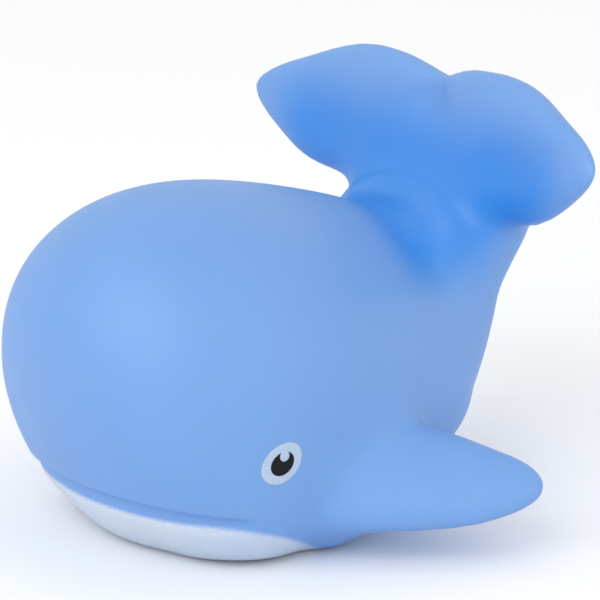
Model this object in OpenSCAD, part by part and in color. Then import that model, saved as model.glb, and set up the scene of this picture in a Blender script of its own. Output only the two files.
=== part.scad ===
// Squeaky bath whale: a hollow soft vinyl body with a sprayed belly, printed eyes and a reed squeaker in its foot.
// +X is the nose, +Y the whale's left, +Z up. The origin is under the middle of the toy's length, on the foot.

/* [Body] */
// Width of the body at its widest section
body_w = 63.5; // [58:0.5:69]
// Height of the crown above the foot
body_h = 59; // [55:0.5:63]
// Reach of the nose ahead of the squeaker axis
nose_x = 39; // [35:0.5:44]
// Height of the nose above the foot
nose_z = 35; // [30:0.5:38]
// Widest section ahead of the squeaker axis
widest_x = 9.5; // [5:0.5:12]
// Roundness of the head, smaller is blunter
head_round = 0.94; // [0.84:0.02:1]
// Roundness of the chin, larger falls back more
chin_round = 1.15; // [0.95:0.05:1.25]
// Roundness of the upper half of each section, smaller is squarer
back_round = 0.94; // [0.85:0.01:1]
// Roundness of the lower half of the widest section, smaller is squarer
belly_round = 0.57; // [0.5:0.01:0.68]
// Roundness of the lower half of the sections at the nose
nose_round = 1.1; // [0.95:0.01:1.2]
// Spread of that roundness back from the nose, larger reaches further
chin_reach = 2.7; // [1:0.1:3.5]
// Height of the widest point as a share of each section
widest_share = 0.44; // [0.38:0.01:0.5]
// Length over which the back runs level behind the widest section
back_level = 17; // [10:1:22]
// Length over which the belly runs level behind the widest section
belly_level = 43; // [38:1:48]
// Narrowing of the hips ahead of the tail
hip = 15.5; // [12:0.5:18]
// Depth by which the belly is cut flat to stand on
foot_cut = 2.8; // [2:0.1:3]
// Thickness of the vinyl wall
wall = 2.2; // [1.6:0.1:2.8]

/* [Tail] */
// Corner between the back and the tail, behind the squeaker axis
nook_x = -35; // [-37:0.5:-31]
// Height of that corner above the foot
nook_z = 50; // [46:0.5:52]
// Length of the fall of the back into that corner
nook_fall = 8.5; // [5:0.5:11]
// Reach of the rear of the body behind the squeaker axis
rear_x = -50; // [-53:0.5:-46]
// Height of the rearmost point of the body
rear_z = 45; // [39:1:48]
// Height of the rounded rear below that point
rear_rise = 30; // [25:1:34]
// Width of the tail stem
stem_w = 30; // [26:1:34]
// Widening of the stem's root into the body
root_flare = 4.5; // [4:0.5:9]
// Roundness of the rear half of the stem's sections
stem_round = 0.89; // [0.75:0.01:1]
// Roundness of the front half of the stem's sections, larger is more of a ridge
stem_ridge = 1.15; // [0.85:0.05:1.5]
// Widest point of the stem from its rear, as a share of each section
stem_share = 0.36; // [0.25:0.01:0.5]
// Widening of the stem into each fluke
stem_flare = 14; // [9:0.5:18]
// Thickness of the stem where it runs into the flukes
stem_t = 5; // [4:0.5:6]
// Depth of the stem's end below the notch
stem_end = 9; // [5:0.5:11]

/* [Flukes] */
// Span of the two flukes
fluke_span = 87; // [76:1:92]
// Length of the flukes from their root to their crest
fluke_chord = 26.5; // [22:0.5:29]
// Thickness of the flukes at their middle
fluke_t = 11; // [9:0.5:13]
// Backward lean of the flukes from upright
fluke_lean = 19; // [14:1:27]
// Notch between the flukes, behind the squeaker axis
notch_x = -49.5; // [-53:0.5:-47]
// Height of the notch above the foot
notch_z = 70; // [66:0.5:73]
// Drop of the fluke tips below the notch, along the fluke
tip_drop = 13; // [9:0.5:15]
// Depth of the notch below the crests
notch_dip = 3.2; // [1.6:0.1:4]
// Reach of the notch into each fluke
notch_w = 7; // [4:0.5:10]
// Reach of the web under the flukes down the stem
web_drop = 4; // [0:0.5:16]
// Spread of that web into each fluke
web_w = 18; // [14:1:32]
// Taper of the flukes' upper edge, larger is more pointed
crest_taper = 0.63; // [0.45:0.01:0.7]
// Taper of the flukes' lower edge, larger is more pointed
lower_taper = 0.41; // [0.35:0.01:0.6]
// Bend of the flukes' middle line down to the tips
fluke_bend = 1.6; // [1.2:0.1:2]
// Roundness of the flukes' edges, smaller is squarer
fluke_edge = 0.8; // [0.7:0.05:1]
// Hollow in the front face of the flukes
fluke_dish = 2.4; // [0:0.1:3]
// Forward curl of the fluke tips
fluke_curl = 4.5; // [2:0.5:7]

/* [Flippers] */
// Flipper tip behind the squeaker axis
flipper_x = -23; // [-27:0.5:-17]
// Flipper tip out from the middle plane
flipper_y = 51; // [46:0.5:54]
// Height of the flipper tip
flipper_z = 10.5; // [9:0.5:14]
// Middle of the flipper root ahead of the squeaker axis
flipper_root_x = 4.5; // [1:0.5:7]
// Height of the middle of the flipper root
flipper_root_z = 14.5; // [12:0.5:17]
// Length of the flipper root along the body
flipper_root = 29; // [25:1:33]
// Thickness of the flipper at its root
flipper_t = 12; // [10:0.5:14]
// Backward rise of the flipper root
flipper_rise = 27; // [20:1:36]
// Taper of the flipper, larger is more pointed
flipper_taper = 1; // [0.8:0.05:1.1]

/* [Paint] */
// Thickness of a coat of paint
coat = 0.2; // [0.1:0.05:0.3]
// Gap between a coat and the faceted skin below it
coat_gap = 0.05; // [0.02:0.01:0.1]
// Height of the upper edge of the white belly at the chin
paint_z = 9.5; // [8:0.5:12]
// Length over which that edge runs level behind the nose
paint_level = 17; // [8:1:20]
// Place where the edge turns down, ahead of the squeaker axis
paint_bend_x = 15; // [12:0.5:20]
// Height of that place
paint_bend_z = 9.5; // [7:0.5:11]
// Place where the edge meets the foot, ahead of the squeaker axis
paint_end_x = 0; // [-6:0.5:5]
// Eye ahead of the squeaker axis
eye_x = 14; // [13:0.5:20]
// Height of the eye
eye_z = 20; // [17:0.2:24]
// Length of the white of the eye
eye_l = 8.4; // [7:0.2:9.4]
// Width of the white of the eye
eye_w = 6; // [5:0.2:7]
// Slant of the eye, up towards the tail
eye_slant = 32; // [15:1:50]
// Length of the pupil
pupil_l = 4.5; // [3.6:0.1:5]
// Width of the pupil
pupil_w = 3.2; // [2.8:0.1:3.8]
// Diameter of the glint cut into the pupil
glint_d = 1.8; // [1.2:0.1:2.2]
// Glint back from the middle of the pupil
glint_back = 0.3; // [0:0.1:0.8]
// Glint above the middle of the pupil
glint_up = 1.3; // [0.8:0.1:1.6]

/* [Squeaker] */
// Diameter of the plug's flange
plug_d = 20; // [18:0.5:23]
// Thickness of the plug's flange
plug_t = 1.4; // [1:0.1:1.8]
// Diameter of the plug's neck in the foot's hole
neck_d = 16; // [15:0.5:17]
// Wall of the plug
plug_wall = 1.4; // [1.2:0.1:1.8]
// Height of the bead that snaps behind the foot
bead = 0.8; // [0.5:0.1:1.2]
// Diameter of the plug's air hole
air_d = 3; // [2:0.2:3.6]
// Depth of the flange's face inside the recess
plug_sink = 0.2; // [0.1:0.1:0.4]
// Gap round the flange in the recess
flange_gap = 0.4; // [0.2:0.1:0.6]
// Gap round the neck in the hole
neck_gap = 0.1; // [0.05:0.05:0.2]
// Width of the vinyl seat round the flange
seat_w = 3; // [2:0.5:4]
// Outside diameter of the reed barrel
barrel_d = 7; // [6.4:0.1:7.6]
// Length of the reed barrel
barrel_l = 14; // [12:0.5:16]
// Wall of the reed barrel
barrel_wall = 0.9; // [0.7:0.1:1.1]
// Depth of the plug's socket that grips the barrel
socket_l = 8; // [6:0.5:10]
// Fit between pieces that are pressed together
fit = 0.05; // [0.02:0.01:0.08]
// Length of the reed bed
bed_l = 11; // [9:0.5:12]
// Width of the wind channel in the reed bed
channel_w = 1.8; // [1.4:0.1:2.2]
// Depth of the wind channel
channel_d = 1.2; // [0.8:0.1:1.5]
// Angle by which the bed falls away under the reed
bed_fall = 4; // [3:0.5:5]
// Width of the reed
reed_w = 3.2; // [2.6:0.1:3.6]
// Thickness of the reed
reed_t = 0.2; // [0.15:0.05:0.3]
// Free length of the reed
reed_free = 6.4; // [5:0.2:7]
// Length of the reed's clamped root
reed_root = 3; // [2:0.2:4]

/* [Hidden] */

$fn = 64;
// Points round a section of the body, and sections along its head, rear and stem
girth_n = 48;
head_n = 14;
rear_n = 13;
stem_n = 9;
// Points round a section of a fin, and sections along a fluke and a flipper
fin_n = 24;
fluke_n = 16;
flipper_n = 12;
// Steps along the edge of the white belly
paint_n = 16;
// Share of those counts that the hollow takes
hollow_detail = 0.6;
// Shares that keep the last section of a tapering end from closing on itself
end_share = 0.97;
nose_share = 0.4;
// Most of a section's half that the hollow's inset takes
inset_share = 0.9;
far = 200;

recess = plug_sink + plug_t;
seat_top = recess + wall;
neck_r = neck_d / 2;
barrel_z = plug_sink + plug_t + plug_wall / 2;
barrel_r = barrel_d / 2;
bore_r = barrel_r - barrel_wall;
bed_r = bore_r - fit;
white = -coat_gap;
ink = white - coat;

function pw(v, e) = sign(v) * pow(abs(v), e);
function bezier(p, t) =
    let (s = 1 - t)
    s * s * s * p[0] + 3 * s * s * t * p[1] + 3 * s * t * t * p[2] + t * t * t * p[3];
function middle(ring) = [for (a = [0 : 2]) [for (p = ring) p[a]] * [for (p = ring) 1 / len(ring)]];
function unit(v) = v / norm(v);

// Closed skin over rings of equal count; each end closes on the middle of its ring
module skin(rings) {
    n = len(rings[0]);
    m = len(rings);
    last = (m - 1) * n;
    points = concat([for (r = rings) each r], [middle(rings[0]), middle(rings[m - 1])]);
    sides = [for (i = [0 : m - 2], j = [0 : n - 1])
        let (a = i * n + j, b = i * n + (j + 1) % n)
        each [[a, a + n, b], [b, a + n, b + n]]];
    ends = [for (j = [0 : n - 1])
        let (k = (j + 1) % n)
        each [[m * n, j, k], [m * n + 1, last + k, last + j]]];
    polyhedron(points, concat(sides, ends), convexity = 10);
}

// One mesh out of overlapping skins
module moulded() {
    resize([0, 0, 0]) children();
}

// Sections of the body, inset by i,
// each [upper point, lower point, half width, widest share, roundness below, roundness above]
function head_angle(x, i) = acos(pow((x - widest_x) / (nose_x - i - widest_x), 1 / head_round));
function head_section(q, i) =
    let (f = pw(sin(q), head_round),
         g = pw(sin(q), chin_round),
         x = widest_x + (nose_x - i - widest_x) * pw(cos(q), head_round))
    [[x, nose_z + (body_h - i - nose_z) * f], [x, nose_z - (nose_z + foot_cut - i) * g], (body_w / 2 - i) * f,
        widest_share, nose_round + (belly_round - nose_round) * pow(sin(q), chin_reach), back_round];

stem_half = stem_w / 2;
root_half = stem_half + root_flare;
lean = [-sin(fluke_lean), cos(fluke_lean)];
face = [cos(fluke_lean), sin(fluke_lean)];
notch = [notch_x, notch_z];
stem_tip = notch - stem_end * lean;
nook = [nook_x, nook_z];
rear = [rear_x, rear_z];
back_curve = [[widest_x, body_h], [widest_x - back_level, body_h], nook + [nook_fall, 0], nook];
belly_curve = [[widest_x, -foot_cut], [widest_x - belly_level, -foot_cut], rear - [0, rear_rise], rear];
share_curve = [widest_share, widest_share, stem_share, stem_share];
round_curve = [belly_round, belly_round, stem_round, stem_round];
ridge_curve = [back_round, back_round, stem_ridge, stem_ridge];
girth_curve = [body_w / 2, body_w / 2, body_w / 2 - hip, root_half];
stem_front = [nook, nook - [nook_fall / 3, 0], stem_tip + stem_t / 2 * face - stem_end * lean,
    stem_tip + stem_t / 2 * face];
stem_rear = [rear, rear + [0, rear_rise / 2], stem_tip - stem_t / 2 * face - stem_end * lean,
    stem_tip - stem_t / 2 * face];
stem_girth = [root_half, root_half, stem_half + stem_flare, stem_half + stem_flare];

function inset(s, i) =
    let (d = s[0] - s[1],
         u = min(i, inset_share * norm(d) / 2) * unit(d))
    [s[0] - u, s[1] + u, s[2] - i, s[3], s[4], s[5]];
function count(n, detail) = 4 * round(n * detail / 4);
function body_sections(i, detail) = concat(
    let (n = round(head_n * detail))
    [for (k = [1 : n]) head_section(90 * (k - 1 + nose_share) / (n - 1 + nose_share), i)],
    let (n = round(rear_n * detail))
    [for (k = [1 : n])
        let (t = k / n)
        inset([bezier(back_curve, t), bezier(belly_curve, t), bezier(girth_curve, t), bezier(share_curve, t),
            bezier(round_curve, t), bezier(ridge_curve, t)], i)],
    let (n = round(stem_n * detail))
    [for (k = [1 : n])
        let (t = k / n)
        inset([bezier(stem_front, t), bezier(stem_rear, t), bezier(stem_girth, t), stem_share,
            stem_round, stem_ridge], i)]);
function body_ring(s, n) =
    let (m = s[1] + (s[0] - s[1]) * s[3])
    [for (j = [0 : n - 1])
        let (a = -360 * j / n,
             up = sin(a) > 0,
             e = up ? s[5] : s[4],
             p = m + (up ? s[0] - m : m - s[1]) * pw(sin(a), e))
        [p[0], s[2] * pw(cos(a), e), p[1]]];

module trunk(i = 0, detail = 1) {
    n = count(girth_n, detail);
    skin([for (s = body_sections(i, detail)) body_ring(s, n)]);
}

// Rings of both flukes from tip to tip, inset by i
function fluke_rings(i, detail) =
    let (m = round(fluke_n * detail),
         n = count(fin_n, detail),
         half = fluke_chord / 2)
    [for (k = [-m : m])
        let (q = 90 * end_share * k / m,
             s = abs(sin(q)),
             y = fluke_span / 2 * s,
             dip = notch_dip * exp(-pow(y / notch_w, 2)),
             sweep = notch_dip - half + (half - tip_drop) * pow(s, fluke_bend),
             crest = sweep + (half - i) * pow(cos(q), 2 * crest_taper) - dip,
             web = web_drop * exp(-pow(y / web_w, 2)),
             lower = sweep - (half - i) * pow(cos(q), 2 * lower_taper) - web,
             mid = (crest + lower) / 2,
             hc = (crest - lower) / 2,
             ht = (fluke_t / 2 - i) * sqrt(1 - pow(s, 3)))
        [for (j = [0 : n - 1])
            let (a = 360 * j / n,
                 hollow = sin(a) > 0 ? fluke_dish * cos(q) * pow(sin(a), 2) : 0,
                 out = ht * pw(sin(a), fluke_edge) - hollow + fluke_curl * s * s,
                 p = notch + (mid + hc * cos(a)) * lean + out * face)
            [p[0], (fluke_span / 2 - i) * sin(q), p[1]]]];

module flukes(i = 0, detail = 1) {
    skin(fluke_rings(i, detail));
}

// Middle of the toy's length, measured from the squeaker axis
tail_x = min([for (r = fluke_rings(0, 1), p = r) p[0]]);
mid_x = (nose_x + tail_x) / 2;

// From the squeaker axis to the middle of the length
module placed() {
    translate([-mid_x, 0, 0]) children();
}

// Left flipper, from inside the body to its tip, inset by i
module flipper(i = 0, detail = 1) {
    m = round(flipper_n * detail);
    n = count(fin_n, detail);
    root = [flipper_root_x, body_w / 4, flipper_root_z];
    tip = [flipper_x, flipper_y, flipper_z];
    along = unit(tip - root);
    chord = [-cos(flipper_rise), 0, sin(flipper_rise)];
    up = unit(cross(along, chord));
    skin([for (k = [0 : m])
        let (q = 90 * end_share * k / m,
             full = pow(cos(q), flipper_taper),
             p = root + (tip - i * along - root) * sin(q))
        [for (j = [0 : n - 1])
            let (a = 360 * j / n)
            p + full * ((flipper_root / 2 - i) * cos(a) * chord + (flipper_t / 2 - i) * sin(a) * up)]]);
}

module flippers(i = 0, detail = 1) {
    flipper(i, detail);
    mirror([0, 1, 0]) flipper(i, detail);
}

module outer_form() {
    difference() {
        union() {
            trunk();
            flukes();
            flippers();
        }
        translate([-far / 2, -far / 2, -far]) cube(far);
    }
}

// Hollow of the body, above a floor and a raised seat for the plug
module cavity() {
    difference() {
        union() {
            trunk(wall, hollow_detail);
            flukes(wall, hollow_detail);
            flippers(wall, hollow_detail);
        }
        translate([-far / 2, -far / 2, wall - far]) cube(far);
        cylinder(d = plug_d + 2 * (flange_gap + seat_w), h = seat_top);
    }
}

module vinyl_body() {
    color("#83b1ec") placed() difference() {
        moulded() difference() {
            outer_form();
            cavity();
            translate([0, 0, -1]) cylinder(d = neck_d / 2, h = seat_top + 2);
        }
        translate([0, 0, -1]) cylinder(d = plug_d + 2 * flange_gap, h = recess + 1);
        translate([0, 0, -1]) cylinder(d = neck_d + 2 * neck_gap, h = seat_top + 2);
    }
}

// Layer of paint over the body, from an inset of a out to one of b
module coat_layer(a, b) {
    difference() {
        trunk(b);
        trunk(a);
        flippers(a);
    }
}

module belly_paint() {
    front = [nose_x, paint_z];
    curve = [front, front - [paint_level, 0], [paint_bend_x, paint_bend_z], [paint_end_x, 0]];
    edge = [for (k = [0 : paint_n]) bezier(curve, k / paint_n)];
    color("#f2f4f8") placed() moulded() intersection() {
        coat_layer(white, white - coat);
        rotate([90, 0, 0]) linear_extrude(far, center = true)
            polygon(concat([[far, 0], [far, paint_z]], edge));
    }
}

// Half width of the head at a place in its side view
function head_y(x, z) =
    let (s = head_section(head_angle(x, 0), 0),
         m = s[1][1] + (s[0][1] - s[1][1]) * s[3],
         e = z > m ? s[5] : s[4],
         v = z > m ? (z - m) / (s[0][1] - m) : (m - z) / (m - s[1][1]))
    s[2] * pow(cos(asin(pow(v, 1 / e))), e);

// Column through the left eye, square to the head there; its X points to the nose and its Y down
module eye_column() {
    p = [eye_x, head_y(eye_x, eye_z), eye_z];
    d = eye_w / 4;
    dx = head_y(eye_x + d, eye_z) - head_y(eye_x - d, eye_z);
    dz = head_y(eye_x, eye_z + d) - head_y(eye_x, eye_z - d);
    n = unit([-dx, 2 * d, -dz]);
    u = unit(cross(n, [0, 0, 1]));
    v = cross(n, u);
    multmatrix([for (a = [0 : 2]) [u[a], v[a], n[a], p[a]]])
        linear_extrude(body_w / 4, center = true) children();
}

module eye_white() {
    color("#eef2fa") placed() moulded() intersection() {
        coat_layer(white, white - coat);
        eye_column() rotate(eye_slant) scale([eye_l / 2, eye_w / 2]) circle(1);
    }
}

module pupil() {
    color("#101216") placed() moulded() intersection() {
        coat_layer(ink, ink - coat);
        eye_column() difference() {
            rotate(eye_slant) scale([pupil_l / 2, pupil_w / 2]) circle(1);
            translate([-glint_back, -glint_up]) circle(d = glint_d);
        }
    }
}

module left_eye_white() {
    eye_white();
}

module left_pupil() {
    pupil();
}

module right_eye_white() {
    mirror([0, 1, 0]) eye_white();
}

module right_pupil() {
    mirror([0, 1, 0]) pupil();
}

// Plug with a flange, a neck with a snap bead and a socket for the reed barrel
module squeaker_plug() {
    floor_z = barrel_z;
    hook_z = seat_top + neck_gap;
    top_z = hook_z + 3 * bead;
    socket_r = barrel_r + fit + plug_wall;
    color("#e8eaec") placed() rotate_extrude() polygon([
        [air_d / 2, plug_sink],
        [plug_d / 2 - plug_sink, plug_sink],
        [plug_d / 2, 2 * plug_sink],
        [plug_d / 2, recess],
        [neck_r, recess],
        [neck_r, hook_z],
        [neck_r + bead, hook_z + bead / 2],
        [neck_r + bead, hook_z + bead],
        [neck_r - bead / 2, top_z],
        [neck_r - plug_wall, top_z],
        [neck_r - plug_wall, floor_z],
        [socket_r, floor_z],
        [socket_r, barrel_z + socket_l],
        [barrel_r + fit, barrel_z + socket_l],
        [barrel_r + fit, barrel_z],
        [air_d / 2, barrel_z]
    ]);
}

// Base of the reed barrel, with the reed facing the nose
module reed_seat() {
    placed() translate([0, 0, barrel_z]) rotate(-90) children();
}

module reed_barrel() {
    color("#c9d3da") reed_seat() difference() {
        cylinder(r = barrel_r, h = barrel_l);
        translate([0, 0, -1]) cylinder(r = bore_r, h = barrel_l + 2);
    }
}

// Half-round bed with a wind channel, falling away from the reed above the clamp
module reed_bed() {
    color("#d9dde0") reed_seat() difference() {
        cylinder(r = bed_r, h = bed_l);
        translate([-far / 2, 0, -1]) cube(far);
        translate([0, 0, reed_root]) rotate([bed_fall, 0, 0]) translate([-far / 2, 0, 0]) cube(far);
        translate([-channel_w / 2, -channel_d, -1]) cube([channel_w, far, reed_root + reed_free]);
    }
}

module reed_tongue() {
    color("#d8b45a") reed_seat() translate([-reed_w / 2, 0, 0]) cube([reed_w, reed_t, reed_root + reed_free]);
}

// Half-round wedge that clamps the root of the reed
module reed_wedge() {
    color("#d9dde0") reed_seat() difference() {
        cylinder(r = bed_r, h = reed_root);
        translate([-far / 2, reed_t - far, -1]) cube(far);
    }
}

vinyl_body();
belly_paint();
left_eye_white();
left_pupil();
right_eye_white();
right_pupil();
squeaker_plug();
reed_barrel();
reed_bed();
reed_tongue();
reed_wedge();
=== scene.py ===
"""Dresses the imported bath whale.

It gets a soft vinyl skin with a sprayed belly, printed eyes and a reed squeaker in its foot.
"""

import math

import bmesh
import bpy
import numpy as np
from bpy.props import FloatProperty, FloatVectorProperty, IntProperty, PointerProperty
from mathutils import Matrix, Vector
from mathutils.bvhtree import BVHTree


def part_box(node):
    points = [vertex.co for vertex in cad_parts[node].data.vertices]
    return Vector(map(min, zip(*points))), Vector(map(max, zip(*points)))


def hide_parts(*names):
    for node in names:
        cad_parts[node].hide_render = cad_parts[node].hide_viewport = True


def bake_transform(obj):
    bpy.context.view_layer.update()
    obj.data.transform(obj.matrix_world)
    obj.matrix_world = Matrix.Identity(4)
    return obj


bl_info = {
    "name": "Squeaky bath whale",
    "version": (1, 0, 0),
    "blender": (4, 5, 0),
    "location": "View3D > Sidebar > Whale",
    "description": "Dresses the bath whale in vinyl, sprayed paint and print, on a studio floor",
    "category": "Object",
}

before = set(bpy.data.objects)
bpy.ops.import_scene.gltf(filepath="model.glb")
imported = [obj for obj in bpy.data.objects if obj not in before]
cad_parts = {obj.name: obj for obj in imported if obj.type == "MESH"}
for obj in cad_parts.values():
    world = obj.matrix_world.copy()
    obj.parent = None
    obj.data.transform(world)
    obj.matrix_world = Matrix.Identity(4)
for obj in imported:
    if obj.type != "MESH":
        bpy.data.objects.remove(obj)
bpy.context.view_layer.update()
MM = 0.001
LEFT, RIGHT = 1.0, -1.0
PLUG_LOW, PLUG_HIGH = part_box("squeaker_plug")
BARREL_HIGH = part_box("reed_barrel")[1]
EYE_LOW, EYE_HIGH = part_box("left_eye_white")
REED_LOW, REED_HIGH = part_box("reed_tongue")


def length(name, description, default):
    """A size in metres, given here in millimetres."""
    return FloatProperty(
        name=name, description=description, default=default * MM, unit="LENGTH", precision=5)


def share(name, description, default):
    """A plain number."""
    return FloatProperty(name=name, description=description, default=default)


def count(name, description, default):
    """A whole number."""
    return IntProperty(name=name, description=description, default=default)


def angle(name, description, default):
    """An angle, given here in degrees."""
    return FloatProperty(
        name=name, description=description, default=math.radians(default), subtype="ANGLE")


def colour(name, description, default):
    """A linear colour."""
    return FloatVectorProperty(
        name=name, description=description, default=default, size=3, subtype="COLOR", min=0, max=1)


def place(name, description, default):
    """A place, given here in millimetres."""
    value = [x * MM for x in default]
    return FloatVectorProperty(
        name=name, description=description, default=value, size=3, subtype="XYZ", unit="LENGTH")


class WhaleSkin(bpy.types.PropertyGroup):
    """Sizes and colours of the vinyl skin and its sprayed belly."""

    grid: length("Grid", "Size of the faces of the skin", 0.6)
    web_rounds: count("Web rounds", "Rounds that fill the corners between fins and body", 160)
    stem_rounds: count("Stem rounds", "Rounds that fill the corners beside the tail stem", 320)
    root_rounds: count("Root rounds", "Rounds that soften the tail's front and tips", 200)
    fluke_rounds: count("Fluke rounds", "Rounds that soften the flukes", 96)
    smooth_rounds: count("Smooth rounds", "Rounds that even the whole skin", 36)
    vinyl: colour("Vinyl", "Colour of the lit vinyl", (0.152, 0.318, 0.66))
    # vinyl_painted_shade is painted shade: the deeper blue that the tail's hollows and the mouth crease
    # show where shade and blue light bounced off the body fall
    vinyl_painted_shade: colour("Deep vinyl", "Colour of the vinyl where it is thicker", (0.04, 0.245, 0.69))
    white: colour("Belly white", "Colour of the sprayed belly", (0.57, 0.64, 0.74))
    speck: colour("Speck", "Colour of the specks in the vinyl", (0.05, 0.12, 0.3))
    satin: share("Satin", "Roughness of the vinyl", 0.46)
    paint_top: length("Paint top", "Height of the belly paint at the chin", 9.2)
    paint_end: length("Paint end", "Where the belly paint meets the foot, ahead of the middle", 7)
    paint_run: length("Paint run", "Length over which the edge of the paint climbs", 25)
    paint_fuzz: length("Paint fuzz", "Width of the soft edge of the spray", 1.3)
    paint_stray: length("Paint stray", "Stray of the edge of the spray from droplet to droplet", 0.6)
    # Towards the rear, the belly's white is mixed with a share of the blue, over the span between these
    # places
    rear_blue_share: share("Thin paint", "Share of the blue that shows through the rear of the paint", 0.2)
    rear_blue_from_x: length("Thin paint place", "Where the paint starts to thicken, ahead of the middle", 24)
    full_white_x: length("Full paint place", "Where the paint is full, ahead of the middle", 37)
    mouth_z: length("Mouth height", "Height of the mouth crease at the middle", 12.5)
    mouth_reach: length("Mouth reach", "Half width at which the mouth crease has dropped", 28.4)
    mouth_drop: length("Mouth drop", "Drop of the mouth crease at its corner", 1.5)
    mouth_w: length("Crease width", "Height over which the skin steps in below the crease", 0.8)
    mouth_depth: length("Crease depth", "Depth by which the jaw steps in under the head", 0.9)
    jaw: length("Jaw", "Height over which the jaw comes out again below the crease", 5)
    # Painted shade in the mouth crease: its height, its share and where it fades
    mouth_shade: length("Crease shade", "Height of the deeper blue below the crease", 2)
    crease_painted_shade: share("Crease tint", "Share of the deeper blue below the crease", 0.3)
    mouth_end_x: length("Mouth end", "Where the mouth has faded out, ahead of the middle", 22)
    mouth_fade: length("Mouth fade", "Length over which the mouth fades out", 7)
    notch_x: length("Notch place", "Notch between the flukes, ahead of the middle", -42.7)
    notch_z: length("Notch height", "Height of the notch between the flukes", 70)
    fluke_lean: angle("Fluke lean", "Backward lean of the flukes", 19)
    ridge_z: length("Ridge height", "Height of the ridge across the front of the tail stem", 51.6)
    ridge_drop: length("Ridge drop", "Drop of the ridge at its ends", 6)
    ridge_reach: length("Ridge reach", "Half length of the ridge", 16)
    ridge_w: length("Ridge width", "Half width of the ridge", 2.3)
    ridge_h: length("Ridge rise", "Rise of the ridge", 2.0)
    # ridge_painted_light is a painted highlight: the share of the painted shade that the ridge loses where
    # it catches the light
    ridge_painted_light: share("Ridge pale", "Share of the deeper blue that the ridge lacks", 0.14)
    # Painted shade in the tail's hollows: where it starts to climb the flukes, and how fast
    painted_shade_stem: length("Tint stem", "Half width at which the deeper blue starts to climb the flukes", 10)
    painted_shade_slope: share("Tint slope", "Climb of the deeper blue out along the flukes", 0.75)
    valley_x: length("Valley place", "Valley before the tail stem, ahead of the middle", -29.5)
    valley_sweep: length("Valley sweep", "Run of the valley towards the nose down each flank", 8.5)
    valley_reach: length("Valley reach", "Half width at which the valley has run forward", 20)
    valley_fall: length("Valley fall", "Width of the fall of the back into the valley", 9)
    valley_rise: length("Valley rise", "Width of the rise of the valley to the ridge", 4)
    valley_depth: length("Valley depth", "Depth of the valley", 1.8)
    press_way: FloatVectorProperty(
        name="Press way", description="Direction in which the squeeze grows", default=(0.35, 0.9, -0.25))
    press_start: length("Press start", "Where the squeeze starts along that direction", 12)
    press_end: length("Press end", "Where the squeeze is full along that direction", 30)


class WhaleEyes(bpy.types.PropertyGroup):
    """Sizes and colours of the printed eyes."""

    long: length("Length", "Length of the white", 8.1)
    wide: length("Width", "Width of the white", 6.4)
    slant: angle("Slant", "Rise of the eye towards the tail", 32)
    pupil_long: length("Pupil length", "Length of the pupil", 4.5)
    pupil_wide: length("Pupil width", "Width of the pupil", 3.7)
    glint: length("Glint", "Diameter of the gap in the pupil", 1.8)
    glint_back: length("Glint back", "Gap back from the middle of the pupil", 0.35)
    glint_up: length("Glint up", "Gap above the middle of the pupil", 1.25)
    coat: length("Coat", "Thickness of one print", 0.06)
    white: colour("Eye white", "Colour of the white print", (0.39, 0.50, 0.66))
    ink: colour("Ink", "Colour of the pupil", (0.008, 0.009, 0.011))
    dust: colour("Dust", "Colour of the dust on the prints", (0.25, 0.25, 0.24))


class WhaleSqueaker(bpy.types.PropertyGroup):
    """Sizes and colours of the squeaker in the foot."""

    edge: length("Edge", "Rounding of the moulded edges", 0.15)
    plug: colour("Plug", "Colour of the plug", (0.74, 0.77, 0.80))
    barrel: colour("Barrel", "Colour of the barrel", (0.52, 0.60, 0.66))
    bed: colour("Bed", "Colour of the reed bed and wedge", (0.66, 0.69, 0.72))
    reed: colour("Reed", "Colour of the reed", (0.62, 0.40, 0.10))
    dust: colour("Dust", "Colour of the dust on the plastic", (0.25, 0.24, 0.22))
    reed_steps: count("Reed steps", "Bending steps along the reed", 24)


class WhaleStage(bpy.types.PropertyGroup):
    """Camera, floor and lights."""

    azimuth: angle("Azimuth", "Camera's place round the toy", 140.9)
    elevation: angle("Elevation", "Camera's height over the toy", 16.05)
    distance: length("Distance", "Camera's distance", 550)
    target: place("Target", "Point that the camera looks at", (0.55, 10.9, 39.1))
    lens: share("Lens", "Focal length in millimetres", 197.4)
    floor: colour("Floor", "Colour of the floor", (0.93, 0.935, 0.945))
    floor_size: length("Floor size", "Distance from the middle of the floor to its sides", 3000)
    floor_drop: length("Floor drop", "Drop of the floor below the foot, to part their faces", 0.05)
    sky: share("Sky", "Strength of the light from all round", 0.95)
    key: share("Key", "Power of the large front light in watts", 3.0)
    key_size: length("Key size", "Side of the front light", 700)
    key_place: place("Key place", "Front light: to the camera, right and up", (650, -400, 500))
    fill: share("Fill", "Power of the side light in watts", 0.6)
    fill_size: length("Fill size", "Side of the side light", 600)
    fill_place: place("Fill place", "Side light: to the camera, right and up", (500, 600, 300))


def points(mesh):
    """Places of the vertices of a mesh as rows."""
    co = np.empty(len(mesh.vertices) * 3)
    mesh.vertices.foreach_get("co", co)
    return co.reshape(-1, 3)


def set_points(mesh, co):
    """Moves the vertices of a mesh to these rows."""
    mesh.vertices.foreach_set("co", co.ravel())
    mesh.update()


def vertex_normals(mesh):
    """Normals of the vertices of a mesh as rows."""
    normals = np.empty(len(mesh.vertices) * 3)
    mesh.vertex_normals.foreach_get("vector", normals)
    return normals.reshape(-1, 3)


def smoothstep(low, high, x):
    """0 below low, 1 above high, and a smooth climb between them."""
    t = np.clip((x - low) / (high - low), 0, 1)
    return t * t * (3 - 2 * t)


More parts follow.
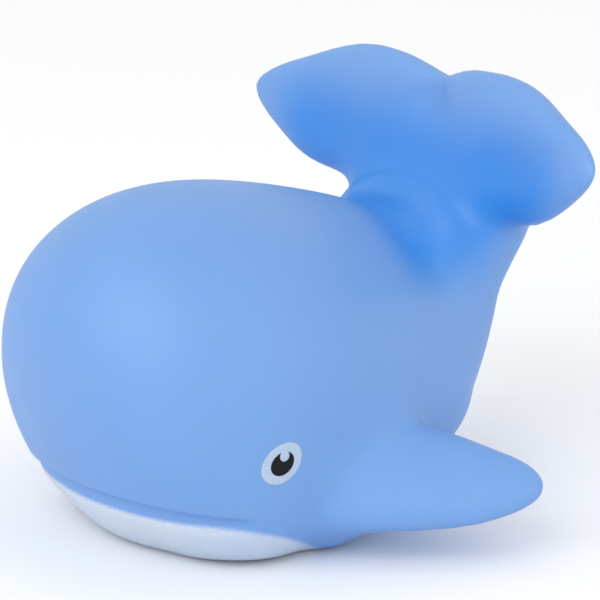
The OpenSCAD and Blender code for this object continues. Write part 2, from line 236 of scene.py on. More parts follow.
class Net:
    """The edges of a mesh, to average each vertex's neighbours."""

    def __init__(self, mesh):
        ends = np.empty(len(mesh.edges) * 2, np.int64)
        mesh.edges.foreach_get("vertices", ends)
        self.a, self.b = ends.reshape(-1, 2).T
        self.n = len(mesh.vertices)
        self.degree = np.maximum(np.bincount(ends, minlength=self.n), 1)

    def mean(self, rows):
        """Mean of each vertex's neighbours."""
        sums = [
            np.bincount(self.a, rows[self.b, k], self.n) + np.bincount(self.b, rows[self.a, k], self.n)
            for k in range(rows.shape[1])
        ]
        return np.stack(sums, 1) / self.degree[:, None]

    def smooth(self, rows, rounds):
        """Rows after that many rounds of averaging."""
        for _ in range(rounds):
            rows = rows + 0.5 * (self.mean(rows) - rows)
        return rows


def new_object(name, data):
    """A mesh, light or camera in the scene under that name."""
    obj = bpy.data.objects.new(name, data)
    bpy.context.scene.collection.objects.link(obj)
    return obj


def evaluated(obj):
    """The mesh that an object's modifiers make; the object goes."""
    graph = bpy.context.evaluated_depsgraph_get()
    mesh = bpy.data.meshes.new_from_object(obj.evaluated_get(graph))
    bpy.data.objects.remove(obj)
    return mesh


def lathe(bm, profile, segments, x):
    """Turns a closed profile of (radius, height) points about the upright axis at x."""
    rings = []
    for radius, z in profile:
        turn = [2 * math.pi * k / segments for k in range(segments)]
        rings.append([bm.verts.new((x + radius * math.cos(a), radius * math.sin(a), z)) for a in turn])
    for low, high in zip(rings, rings[1:]):
        for k in range(segments):
            j = (k + 1) % segments
            bm.faces.new((low[k], low[j], high[j], high[k]))
    bm.faces.new(reversed(rings[0]))
    bm.faces.new(rings[-1])


def largest_island(bm):
    """Keeps the connected surface that reaches furthest, and drops the others."""
    left, islands = set(bm.verts), []
    while left:
        front, island = [left.pop()], set()
        while front:
            v = front.pop()
            island.add(v)
            fresh = [e.other_vert(v) for e in v.link_edges if e.other_vert(v) in left]
            left.difference_update(fresh)
            front.extend(fresh)
        islands.append(island)
    islands.sort(key=lambda i: max(v.co.z for v in i) - min(v.co.z for v in i))
    drop = [v for island in islands[:-1] for v in island]
    bmesh.ops.delete(bm, geom=drop, context="VERTS")


# The recess in the foot: a seat for the plug's flange, a neck for its socket and a chamber above them
PLUG_X = (PLUG_LOW.x + PLUG_HIGH.x) / 2
PLUG_R = (PLUG_HIGH.x - PLUG_LOW.x) / 2
WALL = 2.2 * MM
RECESS_R, RECESS_Z = PLUG_R + 0.4 * MM, 1.6 * MM
NECK_R, NECK_Z = BARREL_HIGH.x - PLUG_X + 4.6 * MM, RECESS_Z + WALL
CHAMBER_R, CHAMBER_Z = PLUG_R + 1 * MM, BARREL_HIGH.z + 2 * MM
STOPPER_Z = PLUG_HIGH.z / 2
STOPPER_SIDES, RECESS_SIDES = 64, 96

# Distances below which points are one, or lie on the middle plane
SOLID_WELD, PRINT_WELD, CUT_WELD = 0.001 * MM, 0.002 * MM, 0.01 * MM
MIDDLE_SNAP = 0.02 * MM

# Parts of the skin: each measure, and where along it the part has gone and is whole, in millimetres.
# Out is the distance from the middle plane, ahead that from the plane of the flukes, and low the
# height less the climb along the flukes.
PARTS = {
    "flipper root": (("out", 18, 24), ("z", 34, 28)),
    "tail root": (("x", -18, -26), ("z", 28, 38), ("ahead", 4, 1)),
    "stem side": (("out", 10, 16), ("z", 58, 50), ("x", -22, -28), ("z", 30, 38)),
    "tail front": (("x", -20, -28), ("z", 34, 42), ("z", 66, 56), ("out", 30, 20)),
    "fluke tip": (("out", 35, 42), ("z", 40, 50)),
    "flukes": (("z", 46, 54), ("x", -24, -30), ("out", 4, 10)),
    "ridge": (("x", -40, -36), ("x", -20, -28)),
    "valley": (("z", 34, 42),),
    # The last part is painted shade in the tail's hollows, for the vinyl's colour only
    "painted tail shade": (("x", -12, -23), ("low", 27, 42), ("z", 71, 57), ("out", 42, 30), ("ahead", -5, 1)),
}

# Shares of its reach at which a form of the tail has gone and is whole
FORM_GONE = 1.2
RIDGE_WHOLE, VALLEY_WHOLE = 0.5, 0.6

# The arms of the ridge, a painted highlight that takes off some of the painted shade where the ridge
# catches the light: shares of its reach where they start and are still whole, and their half width as a
# share of its own
PALE_START, PALE_WHOLE, PALE_WIDE = 0.1, 0.8, 1.3

# The painted shade of the mouth crease, a deeper blue: its soft upper edge, and where it is deepest, below
# the crease
CREASE_EDGE = (-0.2 * MM, 0.4 * MM)
CREASE_DEEP = 0.3 * MM

# Heights on the skin, as shares of the depth of its bump
SKIN_BUMP = 0.1 * MM
TOOTH_HEIGHT, COAT_HEIGHT, SPECK_HEIGHT = 0.12, 0.5, 0.3

# Soft forms that the mould's fins have: place, reach and push, in millimetres
PUSHES = {
    "crest of the fluke": ((-42, 14, 72), 18, (2.2, 0, 0.4)),
    "shoulder of the fluke": ((-39, 32, 69), 12, (1.6, 0, 0)),
    "brow of the fluke": ((-40, 22, 71), 13, (0, 0, 0.8)),
    "lobe beside the notch": ((-41, 8, 71), 9, (1.0, 0, 0.3)),
    "notch": ((-41, 0, 71), 5, (0.8, 0, -0.3)),
    "groove below the notch": ((-38, 0, 66), 6, (-1.0, 0, 0)),
    "tip of the fluke": ((-35.5, 43, 63), 10, (1.6, 2.9, 0.2)),
    "lower edge of the fluke": ((-37, 31, 51), 11, (-0.6, 0, -1.5)),
    "web under the fluke": ((-41, 21, 46), 12, (-2.4, 2.3, -0.8)),
    "corner of the web": ((-42, 24, 48), 8, (-1.5, 1.5, -1.5)),
    "corner of the stem": ((-30.5, 16, 48), 8, (-1.0, -1.2, 0)),
    "dish of the fluke": ((-33, 22, 55), 11, (-2.1, 0, 0)),
    "tip of the flipper": ((-16.5, 49, 12), 11, (-0.6, 0.8, 0.8)),
    "web above the flipper": ((-23, 24, 17), 10, (-1.2, 1.0, 0.8)),
    "web below the flipper": ((4, 27, 4), 9, (0, 1.4, -1.7)),
    "chin": ((31, 0, 3), 13, (0.7, 0, -0.7)),
    "edge of the foot": ((19, 18, 0), 9, (0, 0, 0.8)),
}


def even_shell(grid):
    """The vinyl's outer surface on an even grid, without the squeaker's hole and the hollow."""
    bm = bmesh.new()
    bm.from_mesh(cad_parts["vinyl_body"].data)
    bmesh.ops.remove_doubles(bm, verts=bm.verts, dist=SOLID_WELD)
    lathe(bm, [(RECESS_R + grid, 0), (RECESS_R + grid, STOPPER_Z)], STOPPER_SIDES, PLUG_X)
    mesh = bpy.data.meshes.new("shell")
    bm.to_mesh(mesh)
    bm.free()
    obj = new_object("shell", mesh)
    remesh = obj.modifiers.new("even_grid", "REMESH")
    remesh.mode = "VOXEL"
    remesh.voxel_size = grid
    mesh = evaluated(obj)
    bm = bmesh.new()
    bm.from_mesh(mesh)
    largest_island(bm)
    bm.to_mesh(mesh)
    bm.free()
    return mesh


def fluke_front(s, x, z):
    """How far a place lies ahead of the leaning middle plane of the flukes."""
    return (x - s.notch_x) * math.cos(s.fluke_lean) + (z - s.notch_z) * math.sin(s.fluke_lean)


def part_weight(name, s, co):
    """Weight of a part of the skin at each place."""
    x, y, z = co.T
    measures = {"x": x, "z": z, "out": abs(y), "ahead": fluke_front(s, x, z)}
    weight = np.ones(len(co))
    for measure, gone, whole in PARTS[name]:
        weight *= smoothstep(gone * MM, whole * MM, measures[measure])
    return weight


def fill_corners(mesh, net, rounds, weight):
    """Lifts only the hollow places, so sharp corners between fins and body become soft webs."""
    co = points(mesh)
    for _ in range(rounds):
        normals = vertex_normals(mesh)
        lift = ((net.mean(co) - co) * normals).sum(1)
        co = co + normals * (np.clip(lift, 0, None) * weight)[:, None]
        set_points(mesh, co)


def even_out(mesh, net, rounds, weight):
    """Smooths the skin and gives back what the smoothing took off the broad forms."""
    co = points(mesh)
    smooth = net.smooth(co, rounds)
    smooth = smooth + net.smooth(co - smooth, rounds)
    smooth = co + (smooth - co) * weight[:, None]
    smooth[:, 2] = np.maximum(smooth[:, 2], 0)
    set_points(mesh, smooth)


def press_mouth(mesh, s):
    """Steps the jaw in under the head along the mouth crease, and lets it come out again below."""
    co, normals = points(mesh), vertex_normals(mesh)
    x, y, z = co.T
    below = s.mouth_z - s.mouth_drop * (y / s.mouth_reach) ** 4 - z
    fade = smoothstep(s.mouth_end_x, s.mouth_end_x + s.mouth_fade, x)
    step = smoothstep(0, s.mouth_w, below) * smoothstep(s.jaw, s.mouth_w, below)
    set_points(mesh, co - normals * (s.mouth_depth * fade * step)[:, None])


def press_tail(mesh, s):
    """Raises the ridge across the front of the tail stem and presses in the valley ahead of it."""
    co, normals = points(mesh), vertex_normals(mesh)
    x, y, z = co.T
    out = abs(y) / s.ridge_reach
    ridge = np.exp(-(((z - s.ridge_z + s.ridge_drop * out ** 2) / s.ridge_w) ** 2))
    ridge *= smoothstep(FORM_GONE, RIDGE_WHOLE, out) * part_weight("ridge", s, co)
    out = abs(y) / s.valley_reach
    ahead = x - s.valley_x - s.valley_sweep * out ** 2
    valley = np.exp(-((ahead / np.where(ahead > 0, s.valley_fall, s.valley_rise)) ** 2))
    valley *= smoothstep(FORM_GONE, VALLEY_WHOLE, out) * part_weight("valley", s, co)
    set_points(mesh, co + normals * (s.ridge_h * ridge - s.valley_depth * valley)[:, None])


def push_skin(mesh, at, reach, by):
    """Pushes the skin near a place, and near its mirror place, by a step that fades with distance."""
    co = points(mesh)
    side = np.where(co[:, 1:2] < 0, (1, RIGHT, 1), (1, LEFT, 1))
    half = co * side
    square = ((half - np.array(at) * MM) ** 2).sum(1)
    near = np.clip(1 - square / (reach * MM) ** 2, 0, None) ** 2
    set_points(mesh, (half + near[:, None] * np.array(by) * MM) * side)


def cut_recess(mesh):
    """Cuts the squeaker's recess, hole and chamber into the foot."""
    profile = [
        (RECESS_R, -1 * MM), (RECESS_R, RECESS_Z),
        (NECK_R, RECESS_Z), (NECK_R, NECK_Z),
        (CHAMBER_R, NECK_Z), (CHAMBER_R, CHAMBER_Z),
    ]
    bm = bmesh.new()
    lathe(bm, profile, RECESS_SIDES, PLUG_X)
    tool_mesh = bpy.data.meshes.new("recess")
    bm.to_mesh(tool_mesh)
    bm.free()
    tool, obj = new_object("recess", tool_mesh), new_object("cut", mesh)
    cut = obj.modifiers.new("recess", "BOOLEAN")
    cut.object = tool
    cut.operation = "DIFFERENCE"
    cut.solver = "EXACT"
    cut_mesh = evaluated(obj)
    bpy.data.objects.remove(tool)
    return cut_mesh


def half_skin(mesh, side):
    """One side of the skin, cut on the middle plane, with normals that meet the other side's."""
    bm = bmesh.new()
    bm.from_mesh(mesh)
    geom = bm.verts[:] + bm.edges[:] + bm.faces[:]
    bmesh.ops.bisect_plane(
        bm, geom=geom, dist=CUT_WELD, plane_co=(0, 0, 0), plane_no=(0, -1, 0), clear_outer=True)
    for v in bm.verts:
        if abs(v.co.y) < MIDDLE_SNAP:
            v.co.y = 0
    if side == RIGHT:
        bmesh.ops.scale(bm, vec=(1, -1, 1), verts=bm.verts)
        bmesh.ops.reverse_faces(bm, faces=bm.faces)
    half = bpy.data.meshes.new("skin")
    bm.to_mesh(half)
    bm.free()
    half.shade_smooth()
    normals = vertex_normals(half)
    normals[points(half)[:, 1] == 0, 1] = 0
    normals /= np.linalg.norm(normals, axis=1)[:, None]
    half.normals_split_custom_set_from_vertices(normals)
    return half


def press(obj, side, s):
    """Works out the squeeze's direction for a piece's side, which is not used, and bakes the piece's place
    into its mesh.
    """
    way = Vector(s.press_way).normalized()
    way.y *= side
    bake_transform(obj)


class Tree:
    """A node tree that is filled by short calls."""

    def __init__(self, tree):
        self.tree = tree

    def add(self, kind, **values):
        """A node of that kind with these settings."""
        node = self.tree.nodes.new(kind)
        for key, value in values.items():
            setattr(node, key, value)
        return node

    def put(self, value, socket):
        """Links a socket, or sets a plain value."""
        if isinstance(value, bpy.types.NodeSocket):
            self.tree.links.new(value, socket)
        else:
            socket.default_value = value

    def math(self, operation, a, b=0.0, clamp=False):
        """The result of one sum."""
        node = self.add("ShaderNodeMath", operation=operation, use_clamp=clamp)
        self.put(a, node.inputs[0])
        self.put(b, node.inputs[1])
        return node.outputs[0]

    def ramp(self, value, low, high, to_low=0.0, to_high=1.0):
        """A smooth climb from to_low to to_high as value goes from low to high."""
        node = self.add("ShaderNodeMapRange", interpolation_type="SMOOTHSTEP")
        given = {"Value": value, "From Min": low, "From Max": high, "To Min": to_low, "To Max": to_high}
        for name, one in given.items():
            self.put(one, node.inputs[name])
        return node.outputs[0]

    def mix(self, factor, a, b):
        """A mix of two colours."""
        node = self.add("ShaderNodeMix", data_type="RGBA")
        self.put(factor, node.inputs["Factor"])
        self.put(a, node.inputs[6])
        self.put(b, node.inputs[7])
        return node.outputs[2]

    def noise(self, vector, scale, detail=2.0):
        """Noise from 0 to 1."""
        node = self.add("ShaderNodeTexNoise")
        self.put(vector, node.inputs["Vector"])
        self.put(scale, node.inputs["Scale"])
        self.put(detail, node.inputs["Detail"])
        return node.outputs["Fac"]

    def object_place(self):
        """Place on the toy, in metres."""
        return self.add("ShaderNodeTexCoord").outputs["Object"]


def group(name, inputs, outputs):
    """A node group with those float inputs and outputs; gives its tree, inputs and output node."""
    tree = bpy.data.node_groups.new(name, "ShaderNodeTree")
    for socket, default in inputs.items():
        one = tree.interface.new_socket(socket, in_out="INPUT", socket_type="NodeSocketFloat")
        one.default_value = default
    for socket in outputs:
        tree.interface.new_socket(socket, in_out="OUTPUT", socket_type="NodeSocketFloat")
    t = Tree(tree)
    return t, t.add("NodeGroupInput").outputs, t.add("NodeGroupOutput").inputs


def moulded_grain():
    """Fine tooth of a mould and the slow drift of the colour over a moulding."""
    t, given, out = group("moulded_grain", {"Tooth": 4000.0, "Drift": 60.0}, ["Height", "Tone"])
    here = t.object_place()
    t.put(t.noise(here, given["Tooth"], detail=3.0), out["Height"])
    t.put(t.noise(here, given["Drift"], detail=2.0), out["Tone"])
    return t.tree


def stray_specks():
    """Sparse specks of dust and pigment."""
    t, given, out = group("stray_specks", {"Spread": 220.0, "Size": 0.05, "Rarity": 0.9}, ["Mask"])
    cells = t.add("ShaderNodeTexVoronoi")
    t.put(t.object_place(), cells.inputs["Vector"])
    t.put(given["Spread"], cells.inputs["Scale"])
    pick = t.add("ShaderNodeSeparateColor")
    t.put(cells.outputs["Color"], pick.inputs[0])
    chosen = t.math("GREATER_THAN", pick.outputs[0], given["Rarity"])
    size = t.math("MULTIPLY", given["Size"], pick.outputs[1])
    dot = t.math("LESS_THAN", cells.outputs["Distance"], size)
    t.put(t.math("MULTIPLY", chosen, dot), out["Mask"])
    return t.tree


def spray_stipple():
    """Grain of sprayed or printed paint."""
    t, given, out = group("spray_stipple", {"Fineness": 2600.0}, ["Height", "Tone"])
    here = t.object_place()
    fine = t.noise(here, given["Fineness"], detail=2.0)
    t.put(fine, out["Height"])
    t.put(t.ramp(fine, 0.35, 0.65), out["Tone"])
    return t.tree


GROUPS = {one.__name__: one for one in (moulded_grain, stray_specks, spray_stipple)}


def effect(t, name, **values):
    """Places a shared effect in a material with its own values."""
    tree = bpy.data.node_groups.get(name) or GROUPS[name]()
    node = t.add("ShaderNodeGroup", node_tree=tree)
    for key, value in values.items():
        t.put(value, node.inputs[key])
    return node.outputs


def new_material(name, **plain):
    """A material with an empty shader, whose plain sockets are set by name."""
    material = bpy.data.materials.new(name)
    material.use_nodes = True
    shader = material.node_tree.nodes["Principled BSDF"]
    for key, value in plain.items():
        shader.inputs[key.replace("_", " ")].default_value = value
    return material, Tree(material.node_tree), shader


def bump(t, shader, height, depth):
    """Feeds a height, in shares of a depth in metres, to the shader's normal."""
    node = t.add("ShaderNodeBump")
    node.inputs["Distance"].default_value = depth
    t.put(height, node.inputs["Height"])
    t.put(node.outputs[0], shader.inputs["Normal"])


def tinted(t, tone, rgb, spread):
    """A colour that drifts by a share either way as tone goes from 0 to 1."""
    darker = [c * (1 - spread) for c in rgb] + [1]
    lighter = [min(1, c * (1 + spread)) for c in rgb] + [1]
    return t.mix(tone, darker, lighter)


def uneven(t, tone, roughness, spread):
    """A roughness that drifts by a spread either way with the tone of the moulding."""
    return t.ramp(tone, 0.3, 0.7, roughness - spread, roughness + spread)


def speckled(t, mask, body, speck, cover):
    """A colour with specks that cover it by a share."""
    return t.mix(t.math("MULTIPLY", mask, cover), body, (*speck, 1))


def ridge_line(t, here, s):
    """Nearness to the two arms of the ridge across the tail stem, from 0 to 1, where the painted shade is
    lightened as a painted highlight.
    """
    out = t.math("DIVIDE", t.math("ABSOLUTE", here.outputs["Y"]), s.ridge_reach)
    drop = t.math("MULTIPLY", t.math("MULTIPLY", out, out), s.ridge_drop)
    line = t.math("SUBTRACT", s.ridge_z, drop)
    off = t.math("ABSOLUTE", t.math("SUBTRACT", here.outputs["Z"], line))
    arm = t.math("MULTIPLY", t.ramp(out, PALE_START, RIDGE_WHOLE), t.ramp(out, FORM_GONE, PALE_WHOLE))
    return t.math("MULTIPLY", t.ramp(off, PALE_WIDE * s.ridge_w, 0.0), arm)


def tail_painted_shade(t, here, s):
    """Share of painted shade, a deeper blue, in the tail's hollows between the back and the crest of the
    flukes, where shade and blue light bounced off the back fall.
    """
    x, z = here.outputs["X"], here.outputs["Z"]
    out = t.math("ABSOLUTE", here.outputs["Y"])
    past_stem = t.math("MAXIMUM", t.math("SUBTRACT", out, s.painted_shade_stem), 0.0)
    low = t.math("SUBTRACT", z, t.math("MULTIPLY", past_stem, s.painted_shade_slope))
    along = t.math("MULTIPLY", x, math.cos(s.fluke_lean))
    upward = t.math("MULTIPLY", z, math.sin(s.fluke_lean))
    ahead = t.math("ADD", t.math("ADD", along, upward), fluke_front(s, 0, 0))
    measures = {"x": x, "z": z, "out": out, "low": low, "ahead": ahead}
    # Painted highlight: the ridge, which catches the light, gets less of the painted shade
    tint = t.math("SUBTRACT", 1.0, t.math("MULTIPLY", ridge_line(t, here, s), s.ridge_painted_light))
    for measure, gone, whole in PARTS["painted tail shade"]:
        tint = t.math("MULTIPLY", tint, t.ramp(measures[measure], gone * MM, whole * MM))
    return tint


def belly_cover(t, here, s, grain):
    """Cover of the sprayed belly: full under the chin, with a share of the blue mixed in towards the rear,
    and a soft ragged edge.
    """
    climb = t.math("DIVIDE", t.math("SUBTRACT", here.outputs["X"], s.paint_end), s.paint_run)
    swing = t.math("SINE", t.math("MULTIPLY", t.math("MINIMUM", climb, 1.0), math.pi / 2))
    ragged = t.math("MULTIPLY", t.math("SUBTRACT", grain, 0.5), s.paint_stray)
    under = t.math("SUBTRACT", t.math("MULTIPLY", swing, s.paint_top), here.outputs["Z"])
    spray = t.ramp(t.math("ADD", under, ragged), -s.paint_fuzz / 2, s.paint_fuzz / 2)
    full = t.ramp(here.outputs["X"], s.rear_blue_from_x, s.full_white_x, 1 - s.rear_blue_share, 1.0)
    return t.math("MULTIPLY", spray, full)


def mouth_shade(t, here, s):
    """Share of painted shade, a deeper blue, in the mouth crease where shade falls, which fades over the
    jaw below it.
    """
    out = t.math("DIVIDE", t.math("ABSOLUTE", here.outputs["Y"]), s.mouth_reach)
    drop = t.math("MULTIPLY", t.math("POWER", out, 4.0), s.mouth_drop)
    below = t.math("SUBTRACT", t.math("SUBTRACT", s.mouth_z, drop), here.outputs["Z"])
    shade = t.math("MULTIPLY", t.ramp(below, *CREASE_EDGE), t.ramp(below, s.mouth_shade, CREASE_DEEP))
    fade = t.ramp(here.outputs["X"], s.mouth_end_x, s.mouth_end_x + s.mouth_fade, 0.0, s.crease_painted_shade)
    return t.math("MULTIPLY", shade, fade)


def vinyl_material(s):
    """Satin blue vinyl with a white belly sprayed on it, and painted shade, a deeper blue, in the tail's
    hollows and the mouth crease.
    """
    material, t, shader = new_material(
        "blue_vinyl", IOR=1.5,
        Subsurface_Weight=0.12, Subsurface_Radius=(0.6, 1.0, 1.6), Subsurface_Scale=1.2 * MM)
    here = t.add("ShaderNodeSeparateXYZ")
    t.put(t.object_place(), here.inputs[0])
    grain = effect(t, "moulded_grain", Tooth=3800.0, Drift=45.0)
    specks = effect(t, "stray_specks")["Mask"]
    stipple = effect(t, "spray_stipple")
    belly = belly_cover(t, here, s, stipple["Height"])
    # Painted shade: a deeper blue in the tail's hollows and the mouth crease, where shade falls
    deep = t.math("MAXIMUM", tail_painted_shade(t, here, s), mouth_shade(t, here, s))
    blue = t.mix(deep, tinted(t, grain["Tone"], s.vinyl, spread=0.05), (*s.vinyl_painted_shade, 1))
    blue = speckled(t, specks, blue, s.speck, cover=0.35)
    white = tinted(t, stipple["Tone"], s.white, spread=0.03)
    t.put(t.mix(belly, blue, white), shader.inputs["Base Color"])
    t.put(uneven(t, grain["Tone"], s.satin, spread=0.05), shader.inputs["Roughness"])
    tooth = t.math("MULTIPLY", grain["Height"], TOOTH_HEIGHT)
    coat = t.math("MULTIPLY", belly, COAT_HEIGHT)
    raised = t.math("MULTIPLY", specks, SPECK_HEIGHT)
    bump(t, shader, t.math("ADD", tooth, t.math("ADD", coat, raised)), SKIN_BUMP)
    return material


class WHALE_OT_skin(bpy.types.Operator):
    """Builds the two halves of the vinyl skin over the moulded shell"""

    bl_idname = "whale.skin"
    bl_label = "Vinyl skin"

    def execute(self, context):
        s = context.scene.whale_skin
        mesh = even_shell(s.grid)
        net = Net(mesh)
        start = points(mesh)

        def weight(*names):
            return np.maximum.reduce([part_weight(name, s, start) for name in names])

        fill_corners(mesh, net, s.web_rounds, weight("flipper root", "tail root", "stem side"))
        for at, reach, by in PUSHES.values():
            push_skin(mesh, at, reach, by)
        fill_corners(mesh, net, s.stem_rounds, weight("stem side"))
        even_out(mesh, net, s.root_rounds, weight("tail front", "fluke tip"))
        even_out(mesh, net, s.fluke_rounds, weight("flukes"))
        even_out(mesh, net, s.smooth_rounds, np.ones(len(start)))
        press_tail(mesh, s)
        press_mouth(mesh, s)
        mesh = cut_recess(mesh)
        vinyl = vinyl_material(s)
        for name, side in (("skin_left", LEFT), ("skin_right", RIGHT)):
            obj = new_object(name, half_skin(mesh, side))
            obj.data.materials.clear()
            obj.data.materials.append(vinyl)
            press(obj, side, s)
            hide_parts("vinyl_body", "belly_paint")
        return {"FINISHED"}


def ellipse_reach(long, wide, slant, start=(0.0, 0.0)):
    """Reach of an ellipse that rises to the rear, from a place inside it, at an angle from the nose up."""
    def in_axes(u, v):
        along = u * math.cos(slant) - v * math.sin(slant)
        across = u * math.sin(slant) + v * math.cos(slant)
        return along / (long / 2), across / (wide / 2)

    p, q = in_axes(*start)

    def reach(a):
        dp, dq = in_axes(math.cos(a), math.sin(a))
        square, slope = dp * dp + dq * dq, p * dp + q * dq
        return (math.sqrt(slope * slope - square * (p * p + q * q - 1)) - slope) / square
    return reach


def print_columns(start, inner, reach, rings, turns):
    """Points of a flat print in columns about a place, from a round inner edge out to its reach."""
    first = math.atan2(start[1], start[0])
    columns = []
    for k in range(turns + 1):
        a = first + 2 * math.pi * k / turns
        if reach(a) > inner:
            radii = [inner + (reach(a) - inner) * i / rings for i in range(rings + 1)]
            columns.append([(start[0] + r * math.cos(a), start[1] + r * math.sin(a)) for r in radii])
    return columns


def print_mesh(name, columns, skin, middle, lift, thickness):
    """A thin print laid on the skin: flat points drop onto it, and the outer rim turns down into it."""
    start, normal, _, _ = skin.find_nearest(middle)
    nose = (Vector((1, 0, 0)) - normal * normal.x).normalized()
    up = normal.cross(nose)
    up = up if up.z > 0 else -up
    bm = bmesh.new()

    def drop(u, v, height):
        above = start + nose * u + up * v + normal * 5 * MM
        hit, hit_normal, _, _ = skin.ray_cast(above, -normal)
        return bm.verts.new(hit + hit_normal * height)

    strips = []
    for column in columns:
        top = [drop(u, v, lift + thickness) for u, v in column]
        strips.append([*top, drop(*column[-1], -thickness)])
    for one, two in zip(strips, strips[1:]):
        for k in range(len(one) - 1):
            bm.faces.new((one[k], one[k + 1], two[k + 1], two[k]))
    bmesh.ops.remove_doubles(bm, verts=bm.verts, dist=PRINT_WELD)
    bmesh.ops.recalc_face_normals(bm, faces=bm.faces)
    mesh = bpy.data.meshes.new(name)
    bm.to_mesh(mesh)
    bm.free()
    if sum(p.normal.dot(normal) * p.area for p in mesh.polygons) < 0:
        mesh.flip_normals()
    mesh.shade_smooth()
    return mesh


def mirrored(mesh):
    """The same mesh on the other side of the middle plane."""
    other = mesh.copy()
    other.transform(Matrix.Diagonal((1, -1, 1, 1)))
    other.flip_normals()
    return other


def print_material(name, rgb, specks, roughness, shine, depth):
    """Printed paint with the fine stipple of its pad."""
    material, t, shader = new_material(name, IOR=1.48, Specular_IOR_Level=shine)
    stipple = effect(t, "spray_stipple", Fineness=3200.0)
    grain = effect(t, "moulded_grain", Tooth=5200.0, Drift=300.0)
    dust = effect(t, "stray_specks", Spread=2800.0, Size=0.3, Rarity=0.6)["Mask"]
    ink = speckled(t, dust, tinted(t, stipple["Tone"], rgb, spread=0.06), specks, cover=0.2)
    t.put(ink, shader.inputs["Base Color"])
    t.put(uneven(t, grain["Tone"], roughness, spread=0.06), shader.inputs["Roughness"])
    bump(t, shader, stipple["Height"], depth)
    return material


class WHALE_OT_eyes(bpy.types.Operator):
    """Prints the whites and pupils of both eyes on the skin"""

    bl_idname = "whale.eyes"
    bl_label = "Printed eyes"

    def execute(self, context):
        s, skin_sizes = context.scene.whale_eyes, context.scene.whale_skin
        skin = BVHTree.FromObject(bpy.data.objects["skin_left"], context.evaluated_depsgraph_get())
        middle = (EYE_LOW + EYE_HIGH) / 2
        gap = (-s.glint_back, s.glint_up)
        white_reach = ellipse_reach(s.long, s.wide, s.slant)
        pupil_reach = ellipse_reach(s.pupil_long, s.pupil_wide, s.slant, gap)
        white = print_columns((0.0, 0.0), 0.0, white_reach, rings=12, turns=128)
        dark = print_columns(gap, s.glint / 2, pupil_reach, rings=8, turns=256)
        paint = print_material("eye_paint", s.white, s.dust, roughness=0.42, shine=0.5, depth=0.01 * MM)
        ink = print_material("black_ink", s.ink, s.dust, roughness=0.5, shine=0.12, depth=0.012 * MM)
        prints = (
            ("eye_white", white, 0.0, paint, "eye_paint"),
            ("pupil", dark, s.coat, ink, "black_ink"),
        )
        for piece, columns, lift, material, slot in prints:
            mesh = print_mesh(piece, columns, skin, middle, lift, s.coat)
            mesh.materials.append(material)
            for prefix, side in (("left", LEFT), ("right", RIGHT)):
                obj = new_object(f"{prefix}_{piece}_print", mesh if side == LEFT else mirrored(mesh))
                press(obj, side, skin_sizes)
                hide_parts(f"{prefix}_{piece}")
        return {"FINISHED"}


def plastic_material(name, rgb, specks, roughness, tooth):
    """Moulded plastic with mould tooth, drift of tone and a little dust."""
    material, t, shader = new_material(name, IOR=1.51)
    grain = effect(t, "moulded_grain", Tooth=tooth, Drift=180.0)
    dust = effect(t, "stray_specks", Spread=500.0, Size=0.08, Rarity=0.8)["Mask"]
    body = tinted(t, grain["Tone"], rgb, spread=0.06)
    t.put(speckled(t, dust, body, specks, cover=0.3), shader.inputs["Base Color"])
    t.put(uneven(t, grain["Tone"], roughness, spread=0.07), shader.inputs["Roughness"])
    bump(t, shader, t.math("ADD", grain["Height"], dust), depth=0.02 * MM)
    return material


class WHALE_OT_squeaker(bpy.types.Operator):
    """Gives the plug, barrel, bed and wedge of the squeaker their moulded finish"""

    bl_idname = "whale.squeaker"
    bl_label = "Squeaker"

    def execute(self, context):
        s = context.scene.whale_squeaker
        bed = plastic_material("bed_plastic", s.bed, s.dust, roughness=0.45, tooth=5000.0)
        plug = plastic_material("plug_plastic", s.plug, s.dust, roughness=0.5, tooth=4200.0)
        barrel = plastic_material("barrel_plastic", s.barrel, s.dust, roughness=0.28, tooth=6000.0)
        finishes = {
            "squeaker_plug": plug,
            "reed_barrel": barrel,
            "reed_bed": bed,
            "reed_wedge": bed,
        }
        for node, material in finishes.items():
            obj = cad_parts[node]
            obj.data.materials.clear()
            obj.data.materials.append(material)
            soft = obj.modifiers.new("soft_edges", "BEVEL")
            soft.width = s.edge
            soft.segments = 2
            soft.limit_method = "ANGLE"
        return {"FINISHED"}


class WHALE_OT_reed(bpy.types.Operator):
    """Builds the reed as a straight strip, rounded at its top corners"""

    bl_idname = "whale.reed"
    bl_label = "Reed"

    def execute(self, context):
        s = context.scene.whale_squeaker
        wide = REED_HIGH.y - REED_LOW.y
        corner = wide / 4
        bm = bmesh.new()
        rows = []
        for k in range(s.reed_steps + 1):
            z = REED_LOW.z + (REED_HIGH.z - REED_LOW.z) * k / s.reed_steps
            over = max(0.0, z - (REED_HIGH.z - corner)) / corner
            half = wide / 2 - corner * (1 - math.sqrt(max(0.0, 1 - over ** 2)))
            section = ((REED_LOW.x, -half), (REED_LOW.x, half), (REED_HIGH.x, half), (REED_HIGH.x, -half))
            rows.append([bm.verts.new((x, y, z)) for x, y in section])
        for low, high in zip(rows, rows[1:]):
            for k in range(4):
                j = (k + 1) % 4
                bm.faces.new((low[k], low[j], high[j], high[k]))
        bm.faces.new(rows[0])
        bm.faces.new(rows[-1])
        bmesh.ops.recalc_face_normals(bm, faces=bm.faces)
        mesh = bpy.data.meshes.new("reed")
        bm.to_mesh(mesh)
        bm.free()
        mesh.materials.append(plastic_material("reed_film", s.reed, s.dust, roughness=0.2, tooth=8000.0))
        obj = new_object("reed_strip", mesh)
        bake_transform(obj)
        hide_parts("reed_tongue")
        return {"FINISHED"}


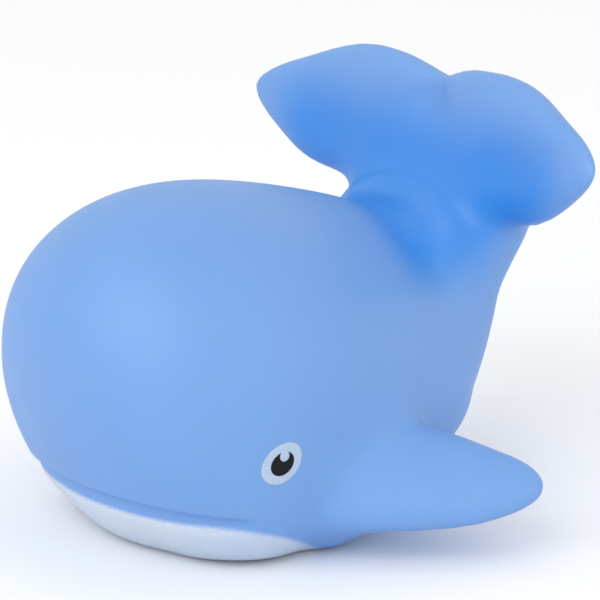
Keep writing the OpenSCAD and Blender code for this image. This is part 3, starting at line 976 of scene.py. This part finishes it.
def area_light(name, power, size, at, target):
    """A square soft light that faces the toy."""
    light = bpy.data.lights.new(name, "AREA")
    light.energy = power
    light.size = size
    obj = new_object(name, light)
    obj.location = at
    obj.rotation_euler = (target - at).to_track_quat("-Z", "Y").to_euler()


class WHALE_OT_stage(bpy.types.Operator):
    """Sets the floor, the lights and the camera"""

    bl_idname = "whale.stage"
    bl_label = "Studio stage"

    def execute(self, context):
        s, scene = context.scene.whale_stage, context.scene
        target = Vector(s.target)
        right = Vector((math.cos(s.azimuth), math.sin(s.azimuth), 0))
        ahead = Vector((math.sin(s.azimuth), -math.cos(s.azimuth), 0))
        up = Vector((0, 0, 1))
        back = ahead * math.cos(s.elevation) + up * math.sin(s.elevation)
        data = bpy.data.cameras.new("camera")
        data.lens = s.lens
        data.clip_start, data.clip_end = 0.01, 20
        camera = new_object("camera", data)
        camera.location = target + back * s.distance
        camera.rotation_euler = (-back).to_track_quat("-Z", "Y").to_euler()
        scene.camera = camera

        bm = bmesh.new()
        bmesh.ops.create_grid(bm, x_segments=8, y_segments=8, size=s.floor_size)
        mesh = bpy.data.meshes.new("floor")
        bm.to_mesh(mesh)
        bm.free()
        material, t, shader = new_material("pale_floor", Roughness=0.9, Specular_IOR_Level=0.0)
        grain = effect(t, "moulded_grain", Tooth=900.0, Drift=4.0)
        t.put(tinted(t, grain["Tone"], s.floor, spread=0.01), shader.inputs["Base Color"])
        mesh.materials.append(material)
        floor = new_object("floor", mesh)
        floor.location.z = -s.floor_drop

        lights = (("key", s.key, s.key_size, s.key_place), ("fill", s.fill, s.fill_size, s.fill_place))
        for name, power, size, (forth, aside, above) in lights:
            area_light(name, power, size, target + ahead * forth + right * aside + up * above, target)
        world = bpy.data.worlds.new("studio")
        world.use_nodes = True
        sky = world.node_tree.nodes["Background"]
        sky.inputs["Color"].default_value = (1, 1, 1, 1)
        sky.inputs["Strength"].default_value = s.sky
        scene.world = world
        scene.view_settings.view_transform = "Standard"
        return {"FINISHED"}


class WHALE_PT_panel(bpy.types.Panel):
    """Lists the pieces of the whale in the sidebar"""

    bl_idname = "WHALE_PT_panel"
    bl_label = "Bath whale"
    bl_space_type = "VIEW_3D"
    bl_region_type = "UI"
    bl_category = "Whale"

    def draw(self, context):
        for operator in OPERATORS:
            self.layout.operator(operator.bl_idname)


GROUPS_OF_SIZES = {
    "whale_skin": WhaleSkin,
    "whale_eyes": WhaleEyes,
    "whale_squeaker": WhaleSqueaker,
    "whale_stage": WhaleStage,
}
OPERATORS = (WHALE_OT_skin, WHALE_OT_eyes, WHALE_OT_squeaker, WHALE_OT_reed, WHALE_OT_stage)


def register():
    for name, sizes in GROUPS_OF_SIZES.items():
        bpy.utils.register_class(sizes)
        setattr(bpy.types.Scene, name, PointerProperty(type=sizes))
    for cls in (*OPERATORS, WHALE_PT_panel):
        bpy.utils.register_class(cls)


def unregister():
    for cls in (WHALE_PT_panel, *reversed(OPERATORS)):
        bpy.utils.unregister_class(cls)
    for name, sizes in GROUPS_OF_SIZES.items():
        delattr(bpy.types.Scene, name)
        bpy.utils.unregister_class(sizes)


def main():
    """Makes every piece in order."""
    register()
    bpy.ops.whale.skin()
    bpy.ops.whale.eyes()
    bpy.ops.whale.squeaker()
    bpy.ops.whale.reed()
    bpy.ops.whale.stage()


if __name__ == "__main__":
    main()
